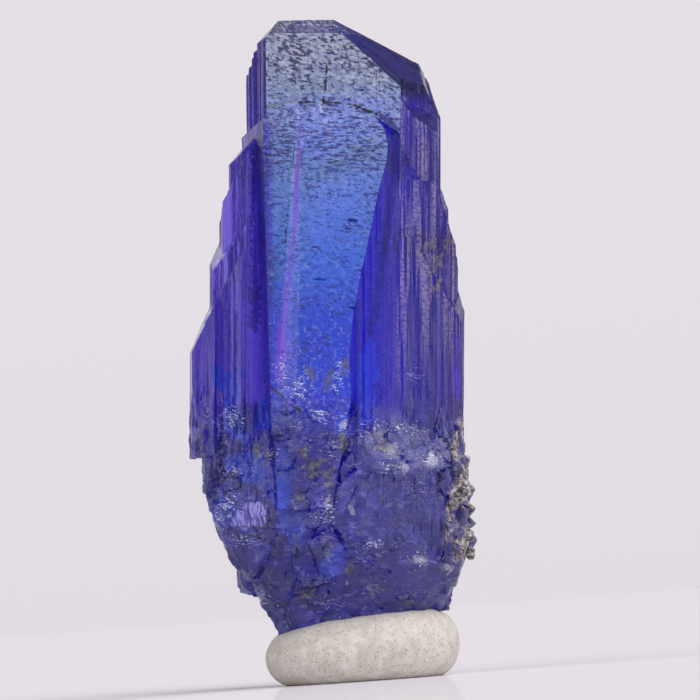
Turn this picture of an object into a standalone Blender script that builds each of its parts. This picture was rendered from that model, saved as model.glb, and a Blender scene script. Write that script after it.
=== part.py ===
# A rough tanzanite crystal, a bundle of blades grown together, standing in a lump of white putty.
# The origin is the middle of the putty's flat foot, +Z is up and the etched front face looks along -Y.

import math
import random

import bmesh
import bpy
from mathutils import Matrix, Vector

# Driving dimensions, all in millimetres
MM = 0.001
CRYSTAL_TOP = 28.65
BLADE_FOOT = 8.2
BLADE_FOOT_SHARE = 0.95
FLUTE_DEPTH = 0.09
FLUTE_SHIFT = 0.18
FLUTE_DEPTH_SPREAD = (0.5, 1.3)
CREST_SHIFT = 0.12
CREST_DEPTH_SPREAD = (0.0, 0.3)
STONE_LEAN_DEGREES = 4.0
STONE_SHIFT = -0.2
PUTTY_WIDTH = 8.65
PUTTY_DEPTH = 8.2
PUTTY_GAP = 0.33
SLIVER = 0.002
CUT_SNAP = 0.00001
SEED = 11
PIT_SEED = 5

# The tall back crystal: plan corners, counter-clockwise from the front left, and fluted sides
TALL_PLAN = [(-4.2, -3.2), (0.2, -3.45), (2.2, -2.4), (3.15, -0.7), (2.6, 2.9), (-2.7, 3.9), (-5.05, 1.0)]
TALL_FLUTES = {1: 6, 2: 6, 3: 8, 4: 10, 5: 8, 6: 7}

# Faces that close the top: a point on each and the direction it looks in
TOP_FACES = [
    ((-2.2, -3.3, 28.35), (0.0, -0.72, 0.69)),
    ((-2.2, -3.0, CRYSTAL_TOP), (-0.03, 0.43, 0.90)),
    ((0.5, -3.6, 26.85), (0.57, -0.33, 0.62)),
    ((-4.3, -2.5, 27.8), (-0.78, -0.15, 0.60)),
    ((2.98, -0.6, 25.75), (0.92, -0.12, 0.36)),
    ((-4.4, 1.5, 26.8), (-0.55, 0.45, 0.70)),
]

# The etched pale plate on the tall crystal's front: outline seen from the front, as x and z
BROW_OUTLINE = [(-4.0, 21.5), (0.6, 21.5), (0.75, 24.3), (1.75, 23.65), (1.8, 29.5), (-4.1, 29.5)]
BROW_DEPTHS = (-3.62, -2.4)

# The tongue in front of it: outline seen from the front, as x and z
TONGUE_OUTLINE = [
    (-5.6, 7.4), (-1.2, 7.4), (-0.35, 12.3), (-0.44, 14.0), (-0.3, 15.6), (0.0, 17.3), (0.44, 19.3),
    (0.8, 21.1), (1.15, 22.4), (1.2, 23.1), (1.05, 23.8), (0.65, 24.3), (-0.2, 24.55), (-1.6, 24.7),
    (-3.5, 24.65), (-4.3, 24.15), (-5.2, 23.65), (-6.6, 22.8),
]
TONGUE_DEPTHS = (-4.45, -1.5)
TONGUE_FACES = [
    ((-4.2, -4.3, 24.0), (-0.94, -0.33, -0.035)),
    ((-4.1, -4.3, 17.0), (-0.70, -0.71, -0.03)),
]

# The long step down the tongue's face: upper and lower place, how deep, and how wide its slope is
STEP_TOP = (-2.5, 25.2, 0.10, 0.18)
STEP_FOOT = (-2.75, 10.5, 0.42, 0.95)
STEP_FAR_LEFT = -8.0
STEP_SPARE = 1.0

# Blades on both sides and behind: plan corners, top level, way the broken end looks, fluted sides
BLADES = [
    {"plan": [(-4.7, -3.3), (-2.5, -2.6), (-2.5, 1.6), (-5.2, 2.0), (-5.8, 0.5), (-5.65, -1.6)],
     "top": 23.1, "look": (-0.75, -0.10, 0.65), "flutes": {4: 3, 5: 4}},
    {"plan": [(-4.8, -3.4), (-2.5, -2.6), (-2.5, 1.6), (-5.4, 2.3), (-6.2, 0.4), (-6.0, -1.5)],
     "top": 20.7, "look": (-0.80, 0.15, 0.58), "flutes": {4: 3, 5: 5}},
    {"plan": [(-4.9, -3.5), (-2.5, -2.6), (-2.5, 1.6), (-5.6, 2.6), (-6.65, 0.5), (-6.45, -1.3)],
     "top": 18.4, "look": (-0.86, -0.20, 0.47), "flutes": {4: 3, 5: 6}},
    {"plan": [(-5.1, -3.4), (-2.5, -2.6), (-2.5, 1.6), (-5.9, 2.7), (-7.0, 0.6), (-6.8, -1.1)],
     "top": 15.6, "look": (-0.82, 0.10, 0.56), "flutes": {4: 3, 5: 6}},
    {"plan": [(0.7, -3.65), (2.4, -2.7), (3.4, -1.0), (3.55, 0.8), (2.7, 2.8), (0.0, 2.6)],
     "top": 24.5, "look": (0.80, -0.35, 0.48), "flutes": {0: 5, 1: 5, 2: 3}},
    {"plan": [(0.45, -3.8), (2.7, -2.6), (3.7, -0.9), (3.9, 0.9), (2.9, 3.0), (0.0, 2.6)],
     "top": 20.9, "look": (0.88, -0.20, 0.43), "flutes": {0: 6, 1: 5, 2: 3}},
    {"plan": [(0.1, -3.9), (3.05, -2.55), (4.2, -0.7), (4.35, 1.1), (3.2, 3.2), (0.0, 2.6)],
     "top": 18.7, "look": (0.93, 0.10, 0.36), "flutes": {0: 7, 1: 4, 2: 3}},
    {"plan": [(-0.2, -4.0), (3.2, -2.7), (4.5, -0.6), (4.65, 1.3), (3.3, 3.4), (0.0, 2.6)],
     "top": 16.2, "look": (0.90, -0.20, 0.40), "flutes": {0: 7, 1: 4, 2: 3}},
    {"plan": [(-3.4, 2.0), (0.9, 2.4), (0.5, 4.35), (-2.3, 4.55), (-3.7, 3.5)],
     "top": 22.4, "look": (-0.20, 0.66, 0.72), "flutes": {2: 6, 3: 3}},
    {"plan": [(0.2, 2.0), (2.9, 2.0), (2.9, 3.3), (2.1, 4.2), (0.2, 4.4)],
     "top": 18.9, "look": (0.30, 0.70, 0.65), "flutes": {1: 4, 2: 4, 3: 5}},
    {"plan": [(-5.4, 0.6), (-2.9, 1.0), (-2.7, 4.3), (-4.4, 3.9), (-6.1, 2.2)],
     "top": 17.2, "look": (-0.60, 0.50, 0.62), "flutes": {2: 3, 3: 5}},
]

# The thin plate at the far left, which ends below in a flat ledge
PLATE_PLAN = [(-6.3, -1.9), (-5.6, -1.0), (-6.0, 1.4), (-7.0, 1.6), (-7.5, 0.2), (-7.35, -1.1)]
PLATE_LEVELS = (9.75, 14.9)
PLATE_LOOK = (-0.90, -0.10, 0.42)

# The broken lower end: level, then its left, right, front and back reach
RUBBLE_LEVELS = [
    (13.4, -5.2, 3.4, -3.0, 2.9),
    (11.7, -5.9, 4.05, -3.45, 3.5),
    (10.4, -6.45, 4.65, -3.95, 4.1),
    (9.0, -6.9, 4.95, -4.4, 4.4),
    (7.4, -7.0, 5.0, -4.6, 4.5),
    (5.7, -6.2, 5.05, -4.4, 4.2),
    (4.4, -4.95, 4.65, -3.8, 3.8),
    (3.1, -4.35, 3.6, -3.0, 3.0),
    (1.95, -3.5, 3.3, -2.6, 2.6),
    (0.6, -3.1, 3.0, -2.3, 2.3),
]
RUBBLE_COLUMNS = 20
RUBBLE_SQUARENESS = 2.6
RUBBLE_ROUGHNESS = 0.05
RUBBLE_COLUMN_SHIFT = 0.25
RUBBLE_LEVEL_SHIFT = 0.45
FOOT_FACE = ((0.0, 0.0, 1.55), (0.13, 0.0, -0.99))

# Chunks and crust grown on the broken end and chips broken out of it: how many, half width, how much
# longer than wide, levels, directions in degrees, share of the half width that stands out, corners
CHUNKS = {"count": 22, "size": (1.9, 2.8), "stretch": 1.35, "levels": (4.4, 9.2), "turns": (0.0, 360.0),
          "proud": 0.03, "corners": 17}
CRUST = {"count": 24, "size": (0.45, 0.8), "stretch": 1.3, "levels": (5.2, 11.4), "turns": (-34.0, 6.0),
         "proud": 0.30, "corners": 12}
CHIPS = {"count": 16, "size": (1.2, 2.1), "stretch": 1.1, "levels": (4.4, 9.4), "turns": (0.0, 360.0),
         "proud": 1.72, "corners": 20}
TURN_STEP = 0.618
TURN_SHIFT = 0.03
SHARD_LEVEL_SPREAD = (0.2, 0.8)
SHARD_ROUNDNESS = (0.85, 1.0)
LOW_END_SHARE = 0.55

# Pits etched into the front: how many, left and right, levels, depth of the face, half sizes
TONGUE_PITS = {"count": 13, "x": (-2.0, 0.3), "levels": (14.5, 24.0), "face": -4.45}
BROW_PITS = {"count": 8, "x": (-3.5, 1.1), "levels": (25.2, 27.6), "face": -3.62}
PIT_HALF_SIZES = (0.42, 0.13, 0.10)
PIT_SIZE_SPREAD = (0.6, 1.4)
PIT_CORNERS = 12

# How far above its top a blade is drawn before it is broken off, and how far the break drops outside
BLADE_SPARE = 3.0
BREAK_DROP = 0.6
TOP_SPARE = 1.0

# The putty: rings from the foot up, as level and share of the full width
PUTTY_RINGS = [(0.0, 0.80), (0.3, 0.92), (0.85, 0.99), (1.5, 1.0), (2.1, 0.96), (2.5, 0.88), (2.75, 0.76),
               (2.88, 0.58)]
PUTTY_SIDES = 40
PUTTY_SQUARENESS = 2.3
PUTTY_RISE = 0.03
PUTTY_LUMPS = 0.012
PUTTY_WAVES = (2, 3, 5)
DENT_SIDES = 8
DENT_REACH = 4.2


def clear_scene():
    for item in list(bpy.data.objects):
        bpy.data.objects.remove(item, do_unlink=True)


def new_object(name, bm):
    bmesh.ops.recalc_face_normals(bm, faces=bm.faces)
    mesh = bpy.data.meshes.new(name)
    bm.to_mesh(mesh)
    bm.free()
    item = bpy.data.objects.new(name, mesh)
    bpy.context.scene.collection.objects.link(item)
    return item


def loft(rings):
    # Closed solid through rings that hold the same number of points
    bm = bmesh.new()
    loops = [[bm.verts.new(point) for point in ring] for ring in rings]
    for low, high in zip(loops, loops[1:]):
        for i in range(len(low)):
            j = (i + 1) % len(low)
            bm.faces.new((low[i], low[j], high[j], high[i]))
    bm.faces.new(list(reversed(loops[0])))
    bm.faces.new(loops[-1])
    return bm


def cut(bm, point, look):
    # Takes away what lies on the side that the new face looks to, and closes the cut
    geometry = bm.verts[:] + bm.edges[:] + bm.faces[:]
    bmesh.ops.bisect_plane(bm, geom=geometry, dist=CUT_SNAP, plane_co=point, plane_no=look, clear_outer=True)
    bmesh.ops.holes_fill(bm, edges=[edge for edge in bm.edges if edge.is_boundary])


def combine(body, tool, operation):
    modifier = body.modifiers.new("combine", "BOOLEAN")
    modifier.operation = operation
    modifier.solver = "EXACT"
    modifier.object = tool
    graph = bpy.context.evaluated_depsgraph_get()
    mesh = bpy.data.meshes.new_from_object(body.evaluated_get(graph))
    body.modifiers.clear()
    body.data = mesh
    bpy.data.objects.remove(tool, do_unlink=True)


def fluted(plan, flutes, rng):
    # Plan outline with shallow grooves cut into the named sides
    outline = []
    for side, corner in enumerate(plan):
        start = Vector(corner)
        along = Vector(plan[(side + 1) % len(plan)]) - start
        inward = Vector((-along.y, along.x)).normalized()
        outline.append(start)
        count = flutes.get(side, 0)
        for groove in range(count):
            middle = (groove + 0.5 + rng.uniform(-FLUTE_SHIFT, FLUTE_SHIFT)) / count
            depth = FLUTE_DEPTH * rng.uniform(*FLUTE_DEPTH_SPREAD)
            outline.append(start + along * middle + inward * depth)
            if groove < count - 1:
                crest = (groove + 1.0 + rng.uniform(-CREST_SHIFT, CREST_SHIFT)) / count
                depth = FLUTE_DEPTH * rng.uniform(*CREST_DEPTH_SPREAD)
                outline.append(start + along * crest + inward * depth)
    return outline


def upright(plan, foot, top, rng, flutes):
    # Prism that stands on its plan, a little narrower at the foot
    outline = fluted(plan, flutes, rng)
    middle = sum(outline, Vector((0.0, 0.0))) / len(outline)
    low = [(middle + (point - middle) * BLADE_FOOT_SHARE).to_3d() + Vector((0, 0, foot)) for point in outline]
    high = [point.to_3d() + Vector((0, 0, top)) for point in outline]
    return loft([low, high])


def slab(outline, depths):
    # Plate whose outline is seen from the front
    return loft([[(x, depth, z) for x, z in outline] for depth in depths])


def reach(level):
    # Left, right, front and back reach of the broken end at a level
    for high, low in zip(RUBBLE_LEVELS, RUBBLE_LEVELS[1:]):
        if level >= low[0]:
            share = (level - low[0]) / (high[0] - low[0])
            return [a + (b - a) * share for a, b in zip(low[1:], high[1:])]
    return list(RUBBLE_LEVELS[-1][1:])


def on_rubble(angle, level, scale=1.0):
    # Point on the broken end's side, in plan a rounded rectangle
    left, right, front, back = reach(level)
    width = (right - left) / 2
    depth = (back - front) / 2
    power = RUBBLE_SQUARENESS
    across = abs(math.cos(angle) / width) ** power
    through = abs(math.sin(angle) / depth) ** power
    radius = scale * (across + through) ** (-1 / power)
    return Vector((
        (left + right) / 2 + radius * math.cos(angle), (front + back) / 2 + radius * math.sin(angle), level))


def rubble(rng):
    rings = []
    ribs = [1 + rng.uniform(-RUBBLE_ROUGHNESS, RUBBLE_ROUGHNESS) for column in range(RUBBLE_COLUMNS)]
    for row, reaches in enumerate(reversed(RUBBLE_LEVELS)):
        inner = 0 < row < len(RUBBLE_LEVELS) - 1
        ring = []
        for column, rib in enumerate(ribs):
            shift = rng.uniform(-RUBBLE_COLUMN_SHIFT, RUBBLE_COLUMN_SHIFT)
            angle = math.tau * (column + shift) / RUBBLE_COLUMNS
            level = reaches[0] + (rng.uniform(-RUBBLE_LEVEL_SHIFT, RUBBLE_LEVEL_SHIFT) if inner else 0.0)
            scale = rib * (1 + rng.uniform(-RUBBLE_ROUGHNESS, RUBBLE_ROUGHNESS) / 2) - RUBBLE_ROUGHNESS
            ring.append(on_rubble(angle, level, scale))
        rings.append(ring)
    bm = loft(rings)
    bmesh.ops.triangulate(bm, faces=bm.faces)
    return bm


def hull(points):
    bm = bmesh.new()
    for point in points:
        bm.verts.new(point)
    made = bmesh.ops.convex_hull(bm, input=bm.verts)
    unused = {item for key in ("geom_interior", "geom_unused") for item in made[key]}
    bmesh.ops.delete(bm, geom=[item for item in unused if isinstance(item, bmesh.types.BMVert)])
    return bm


def shard(centre, half_sizes, corners, rng):
    # Splinter with flat faces around a few scattered points
    points = []
    for corner in range(corners):
        height = rng.uniform(-1, 1)
        turn = rng.uniform(0, math.tau)
        flat = math.sqrt(1 - height * height)
        offset = Vector((flat * math.cos(turn), flat * math.sin(turn), height))
        points.append(centre + offset * rng.uniform(*SHARD_ROUNDNESS) * Vector(half_sizes))
    return hull(points)


def shards(kind, rng):
    # Splinters spread evenly over the broken end, smaller towards its foot
    low, high = kind["levels"]
    first, last = kind["turns"]
    for number in range(kind["count"]):
        share = (number + rng.uniform(*SHARD_LEVEL_SPREAD)) / kind["count"]
        turn = first + (last - first) * ((number * TURN_STEP + rng.uniform(-TURN_SHIFT, TURN_SHIFT)) % 1.0)
        size = rng.uniform(*kind["size"]) * (LOW_END_SHARE + (1 - LOW_END_SHARE) * share)
        centre = on_rubble(math.radians(turn), low + (high - low) * share)
        centre.xy *= 1 - (1 - kind["proud"]) * size / centre.xy.length
        yield shard(centre, (size, size, size * kind["stretch"]), kind["corners"], rng)


def pits(kind, rng):
    # Short level pits, each etched a little into a flat front face
    for number in range(kind["count"]):
        low, high = kind["levels"]
        level = low + (high - low) * (number + rng.random()) / kind["count"]
        centre = Vector((rng.uniform(*kind["x"]), kind["face"], level))
        yield shard(centre, Vector(PIT_HALF_SIZES) * rng.uniform(*PIT_SIZE_SPREAD), PIT_CORNERS, rng)


def step_cutter():
    # Takes the tongue's face down to the left of the long step, with a slope between the two levels
    front = TONGUE_DEPTHS[0]
    rings = []
    for x, level, deep, wide in (STEP_FOOT, STEP_TOP):
        ring = [(STEP_FAR_LEFT, front - STEP_SPARE), (x + STEP_SPARE, front - STEP_SPARE), (x, front),
                (x - wide, front + deep), (STEP_FAR_LEFT, front + deep)]
        rings.append([(*point, level) for point in ring])
    return loft(rings)


def make_tongue():
    tongue = slab(TONGUE_OUTLINE, TONGUE_DEPTHS)
    for point, look in TONGUE_FACES:
        cut(tongue, point, look)
    body = new_object("tongue", tongue)
    combine(body, new_object("step", step_cutter()), "DIFFERENCE")
    bm = bmesh.new()
    bm.from_mesh(body.data)
    bpy.data.objects.remove(body, do_unlink=True)
    return bm


def make_blade(form, rng):
    top = form["top"]
    bm = upright(form["plan"], BLADE_FOOT, top + BLADE_SPARE, rng, form["flutes"])
    outer = max(form["plan"], key=lambda corner: Vector(corner).dot(Vector(form["look"][:2])))
    cut(bm, (*outer, top - BREAK_DROP), form["look"])
    return bm


def make_plate(rng):
    low, high = PLATE_LEVELS
    bm = upright(PLATE_PLAN, low, high + BLADE_SPARE, rng, {})
    cut(bm, (*PLATE_PLAN[4], high - BREAK_DROP), PLATE_LOOK)
    return bm


def grown_pieces(rng):
    # Every blade, plate and chunk that is grown together into the one stone
    yield slab(BROW_OUTLINE, BROW_DEPTHS)
    yield make_tongue()
    for form in BLADES:
        yield make_blade(form, rng)
    yield make_plate(rng)
    yield rubble(rng)
    yield from shards(CHUNKS, rng)
    yield from shards(CRUST, rng)


def make_tanzanite():
    rng = random.Random(SEED)
    tall = upright(TALL_PLAN, BLADE_FOOT, CRYSTAL_TOP + TOP_SPARE, rng, TALL_FLUTES)
    body = new_object("tanzanite_crystal", tall)
    for bm in grown_pieces(rng):
        combine(body, new_object("piece", bm), "UNION")
    pit_rng = random.Random(PIT_SEED)
    for bm in [*shards(CHIPS, rng), *pits(TONGUE_PITS, pit_rng), *pits(BROW_PITS, pit_rng)]:
        combine(body, new_object("chip", bm), "DIFFERENCE")
    bm = bmesh.new()
    bm.from_mesh(body.data)
    for point, look in TOP_FACES + [FOOT_FACE]:
        cut(bm, point, look)
    drop_loose_chips(bm)
    bmesh.ops.rotate(bm, verts=bm.verts, matrix=Matrix.Rotation(math.radians(STONE_LEAN_DEGREES), 3, "Y"))
    bmesh.ops.translate(bm, verts=bm.verts, vec=(STONE_SHIFT, 0, 0))
    finish(body, bm)
    return body


def drop_loose_chips(bm):
    # A chip can free a splinter from the stone: only the largest body stays
    waiting = set(bm.verts)
    bodies = []
    while waiting:
        body = set()
        front = [waiting.pop()]
        while front:
            vertex = front.pop()
            body.add(vertex)
            near = {edge.other_vert(vertex) for edge in vertex.link_edges} & waiting
            waiting -= near
            front.extend(near)
        bodies.append(body)
    stone = max(bodies, key=len)
    bmesh.ops.delete(bm, geom=[vertex for vertex in bm.verts if vertex not in stone])


def finish(body, bm):
    # Takes out slivers, turns millimetres into metres and stores the mesh
    bmesh.ops.remove_doubles(bm, verts=bm.verts, dist=SLIVER)
    bmesh.ops.dissolve_degenerate(bm, edges=bm.edges, dist=SLIVER)
    bmesh.ops.delete(bm, geom=[edge for edge in bm.edges if not edge.link_faces], context="EDGES")
    bmesh.ops.triangulate(bm, faces=bm.faces)
    bmesh.ops.scale(bm, vec=(MM, MM, MM), verts=bm.verts)
    bmesh.ops.recalc_face_normals(bm, faces=bm.faces)
    bm.to_mesh(body.data)
    bm.free()


def putty_ring(level, share, waves):
    # Rounded oblong with soft lumps, a little higher on the right
    ring = []
    for side in range(PUTTY_SIDES):
        angle = math.tau * side / PUTTY_SIDES
        across = abs(2 * math.cos(angle) / PUTTY_WIDTH) ** PUTTY_SQUARENESS
        through = abs(2 * math.sin(angle) / PUTTY_DEPTH) ** PUTTY_SQUARENESS
        radius = share * (across + through) ** (-1 / PUTTY_SQUARENESS)
        if level:
            radius *= 1 + PUTTY_LUMPS * sum(math.sin(turns * angle + start + level) for turns, start in waves)
        x = radius * math.cos(angle)
        ring.append((x, radius * math.sin(angle), level * (1 + PUTTY_RISE * x)))
    return ring


def dent(stone):
    # The stone's lower end, wrapped and grown by the gap, which the putty gives way to
    sides = [math.tau * side / DENT_SIDES for side in range(DENT_SIDES)]
    offsets = [Vector((math.cos(turn), math.sin(turn), 0)) for turn in sides] + [Vector((0, 0, -1))]
    low_end = [vertex.co / MM for vertex in stone.data.vertices if vertex.co.z / MM < DENT_REACH]
    return new_object("dent", hull(point + offset * PUTTY_GAP for point in low_end for offset in offsets))


def make_putty(stone):
    rng = random.Random(SEED + 1)
    waves = [(turns, rng.uniform(0, math.tau)) for turns in PUTTY_WAVES]
    body = new_object("putty_base", loft([putty_ring(level, share, waves) for level, share in PUTTY_RINGS]))
    combine(body, dent(stone), "DIFFERENCE")
    bm = bmesh.new()
    bm.from_mesh(body.data)
    finish(body, bm)
    return body


def paint(item, name, colour, roughness, transmission=0.0):
    material = bpy.data.materials.new(name)
    material.use_nodes = True
    shader = material.node_tree.nodes["Principled BSDF"]
    shader.inputs["Base Color"].default_value = (*colour, 1.0)
    shader.inputs["Roughness"].default_value = roughness
    shader.inputs["Metallic"].default_value = 0.0
    shader.inputs["Transmission Weight"].default_value = transmission
    item.data.materials.clear()
    item.data.materials.append(material)


clear_scene()
tanzanite = make_tanzanite()
putty = make_putty(tanzanite)
paint(tanzanite, "tanzanite", (0.10, 0.08, 0.48), 0.18, 0.6)
paint(putty, "mounting putty", (0.70, 0.66, 0.62), 0.75)
putty.data.shade_smooth()
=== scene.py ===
import functools
import math

import bmesh
import bpy
import numpy as np
from mathutils import Matrix, Vector
from mathutils.geometry import delaunay_2d_cdt, tessellate_polygon


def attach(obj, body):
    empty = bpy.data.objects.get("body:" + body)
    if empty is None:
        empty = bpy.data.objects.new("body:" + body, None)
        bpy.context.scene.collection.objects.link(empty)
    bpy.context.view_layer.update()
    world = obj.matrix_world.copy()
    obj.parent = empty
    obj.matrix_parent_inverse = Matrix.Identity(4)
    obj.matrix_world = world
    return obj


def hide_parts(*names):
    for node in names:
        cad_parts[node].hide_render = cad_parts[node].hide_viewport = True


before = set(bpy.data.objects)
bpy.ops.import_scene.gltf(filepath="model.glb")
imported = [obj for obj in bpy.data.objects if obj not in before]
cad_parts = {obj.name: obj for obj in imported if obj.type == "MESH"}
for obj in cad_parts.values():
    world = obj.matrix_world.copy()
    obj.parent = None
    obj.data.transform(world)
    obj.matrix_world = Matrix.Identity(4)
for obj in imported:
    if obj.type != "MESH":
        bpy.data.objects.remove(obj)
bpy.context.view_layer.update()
scene = bpy.context.scene

# Where the photograph's pixels lie on the stone, and how the camera sees it
photoView = {
    "pixelsPerMm": 22.8,
    "footPixel": (360.0, 680.0),
    "aimPixel": (350.0, 350.0),
    "stoneLean": 4.0,  # degrees, the stone's top leans to the right
    "stoneShift": -0.2,  # mm
    "framePixels": 700,
    "lens": 250.0,  # mm, a long close-up lens
    "film": 36.0,
    "lookUp": 3.0,  # degrees, the camera is almost down on the table
    "roll": -4.0,
}
leanTurn = np.array(Matrix.Rotation(math.radians(photoView["stoneLean"]), 3, "Y"))


def toStone(points):
    # world metres to the stone's own upright frame in mm
    flat = np.asarray(points, float) * 1000.0
    flat = flat - np.array([photoView["stoneShift"], 0.0, 0.0])
    return flat @ leanTurn


def fromStone(points):
    flat = np.asarray(points, float) @ leanTurn.T
    return (flat + np.array([photoView["stoneShift"], 0.0, 0.0])) / 1000.0


def atPixel(across, down):
    # the stone-frame x and z of a place in the photograph
    footX, footY = photoView["footPixel"]
    return (across - footX) / photoView["pixelsPerMm"], (footY - down) / photoView["pixelsPerMm"]


def tint(code):
    # sRGB hex to linear colour
    parts = [int(code[i:i + 2], 16) / 255.0 for i in (1, 3, 5)]
    return tuple(p / 12.92 if p <= 0.04045 else ((p + 0.055) / 1.055) ** 2.4 for p in parts) + (1.0,)


def addNode(tree, kind, inputs=(), out=0, ramp=None, **settings):
    # one node with its settings, its values or links, and its colour stops where it is a ramp
    node = tree.nodes.new("ShaderNode" + kind)
    for name, value in settings.items():
        setattr(node, name, value)
    for slot, value in (inputs.items() if isinstance(inputs, dict) else enumerate(inputs)):
        if isinstance(value, bpy.types.NodeSocket):
            tree.links.new(value, node.inputs[slot])
        else:
            node.inputs[slot].default_value = tint(value) if isinstance(value, str) else value
    for place, colour in (ramp or [])[2:]:
        node.color_ramp.elements.new(place)
    for stop, (place, colour) in zip(node.color_ramp.elements if ramp else (), ramp or ()):
        stop.position = place
        stop.color = tint(colour)
    return node.outputs[out]


# settings that many nodes share; a mix of colours takes its share in 0 and its colours in 6 and 7
smooth = {"interpolation_type": "SMOOTHSTEP"}
colourMix = {"data_type": "RGBA", "out": 2}
times = {"operation": "MULTIPLY"}
timesAndAdd = {"operation": "MULTIPLY_ADD"}
larger = {"operation": "MAXIMUM"}


def newMaterial(name):
    material = bpy.data.materials.new(name)
    material.use_nodes = True
    tree = material.node_tree
    return material, functools.partial(addNode, tree), tree.nodes["Principled BSDF"], tree.links.new


# Noise for the shapes

def hashed(i, j, k, seed):
    mask = np.int64(0xFFFFFFFF)
    mix = (i * 374761393 + j * 668265263 + k * 1440662683 + seed * 974634777) & mask
    mix = ((mix ^ (mix >> 13)) * 1274126177) & mask
    mix = ((mix ^ (mix >> 15)) * 1103515245) & mask
    return (mix ^ (mix >> 16)) / 4294967295.0


def softNoise(points, seed):
    # smooth noise between -1 and 1
    cell = np.floor(points).astype(np.int64)
    part = points - cell
    ease = part * part * part * (part * (part * 6 - 15) + 10)
    total = np.zeros(len(points))
    for corner in np.ndindex(2, 2, 2):
        weight = np.where(corner, ease, 1 - ease).prod(1)
        total += weight * hashed(*(cell + corner).T, seed)
    return total * 2 - 1


def nearestGrain(points, seed):
    # distance to the nearest scattered grain centre, and that grain's own number and slope
    cell = np.floor(points).astype(np.int64)
    best = np.full(len(points), 9.0)
    own = np.zeros(len(points))
    slope = np.zeros(len(points))
    for step in np.ndindex(3, 3, 3):
        near = cell + step - 1
        spot = np.stack([hashed(*near.T, seed + n) for n in (0, 1, 2)], 1)
        away = points - near - spot
        gap = np.linalg.norm(away, axis=1)
        own = np.where(gap < best, spot[:, 0], own)
        slope = np.where(gap < best, (away * (2 * spot - 1)).sum(1), slope)
        best = np.minimum(best, gap)
    return best, own, slope


def ramp01(value, low, high):
    share = np.clip((value - low) / (high - low), 0.0, 1.0)
    return share * share * (3 - 2 * share)


# The stone's mesh: every flat face of the solid is filled with fine triangles, then given its relief

stone = {
    "spacing": {  # mm between points, across and along the crystal
        "striated": (0.075, 0.40),
        "etched": (0.09, 0.09),
        "broken": (0.10, 0.10),
        "tip": (0.13, 0.13),
    },
    "rowGap": 0.87,  # from row to row, next to the spacing in a row
    "jitter": 0.16,
    "edgeClear": 0.55,  # no inner point is closer than this to an edge
    "flatAngle": 0.4,  # degrees, faces flatter than this to each other are one
    "sharpAngle": 38.0,  # degrees, edges sharper than this stay hard
    "levelLook": 0.9,  # faces that look up or down more than this are level
    "lowEnd": 12.1,  # mm, the broken end reaches up to here
    "tongue": (-3.95, 10.0),  # mm, the etched faces lie in front of and above these
    "brow": (-3.50, 23.0),
    "etchedLook": (-0.75, 0.15),  # they look to the front and hardly to the right
    "etchedLedge": 0.6,  # mm, or are lower than this
    "uprightLook": 0.12,  # the blades' sides are this upright and this tall in mm
    "bladeTall": 1.6,
    "coarseStria": (0.42, 9.0, 0.030),  # width, length and depth in mm
    "fineStria": (0.17, 5.0, 0.020),
    "striaRadius": 4.6,  # mm, turns an angle into a width
    "striaSteps": 2.5,
    "striaRiser": (0.32, 0.68),
    "calmLeft": (-1.0, 1.0, 0.25),  # mm, left of this the fine lines are this much fainter
    "etchPit": (0.42, 0.20, 0.030),
    "etchEdge": (0.55, 0.75, 0.75),  # where a pit sets in, how much sooner in dense places, its floor
    "etchSwell": ((1.4, 1.0, 2.4), 0.025),
    "etchWander": (1.3, 0.5),  # size and height in mm, as below
    "etchBrow": (25.6, 27.2),  # mm, levels where the pits set in and are thickest
    "etchBand": (21.0, 22.2, 24.6, 25.6),
    "etchSparse": 0.25,  # share of pits elsewhere
    "brokenLump": (1.3, 0.050),
    "brokenChip": (0.85, 0.110),
    "brokenFlake": (0.42, 0.050),
    "brokenGrain": (0.20, 0.016),
    "chipWander": (1.7, 0.25),  # per chip
    "tipRelief": 0.12,  # of the broken end's relief
    "lowEdge": (11.4, 12.8),  # mm, the relief of the broken end fades out here
    "lowWander": (1.5, 0.8),
    "crustGrain": (0.20, 0.022),
    "crustGrainShape": (0.55, 0.5),  # where a grain ends, and the height of the lowest
    "crustWander": ((0.9, 0.50), (0.3, 0.16)),
    "crustRight": (3.75, 4.15),  # mm, where the crust sets in and is whole
    "crustLevels": (4.9, 5.3, 11.5, 11.9),
    "crustBack": (1.6, 2.4),
    "markedFront": -0.6,  # mm, marks lie in front of this
    "seed": 7,
}


def openFaces(node):
    # the solid's mesh in the stone's frame, with its flat faces whole again
    bm = bmesh.new()
    bm.from_mesh(node.data)
    for vertex in bm.verts:
        vertex.co = Vector(toStone([vertex.co])[0])
    bmesh.ops.remove_doubles(bm, verts=bm.verts, dist=1e-4)
    flat = math.radians(stone["flatAngle"])
    bmesh.ops.dissolve_limit(bm, angle_limit=flat, verts=bm.verts, edges=bm.edges)
    bm.verts.index_update()
    bm.normal_update()
    return bm


def zoneOf(face):
    look = face.normal
    middle = face.calc_center_median()
    levels = [vertex.co.z for vertex in face.verts]
    tall = max(levels) - min(levels)
    inFront = any(middle.y < back and middle.z > low for back, low in (stone["tongue"], stone["brow"]))
    toFront, toRight = stone["etchedLook"]
    if inFront and (look.y < toFront and look.x < toRight or tall < stone["etchedLedge"]):
        return "etched"
    if abs(look.z) < stone["uprightLook"] and tall > stone["bladeTall"]:
        return "striated"
    if middle.z < stone["lowEnd"]:
        return "broken"
    return "tip"


def planeOf(face, spacing):
    # two directions in the face, each scaled so that a point spacing is 1
    look = face.normal
    level = abs(look.z) >= stone["levelLook"]
    across = Vector((1, 0, 0) if level else (0, 0, 1)).cross(look)
    across.normalize()
    along = look.cross(across)
    return np.array(across) / spacing[0], np.array(along) / spacing[1]


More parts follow.
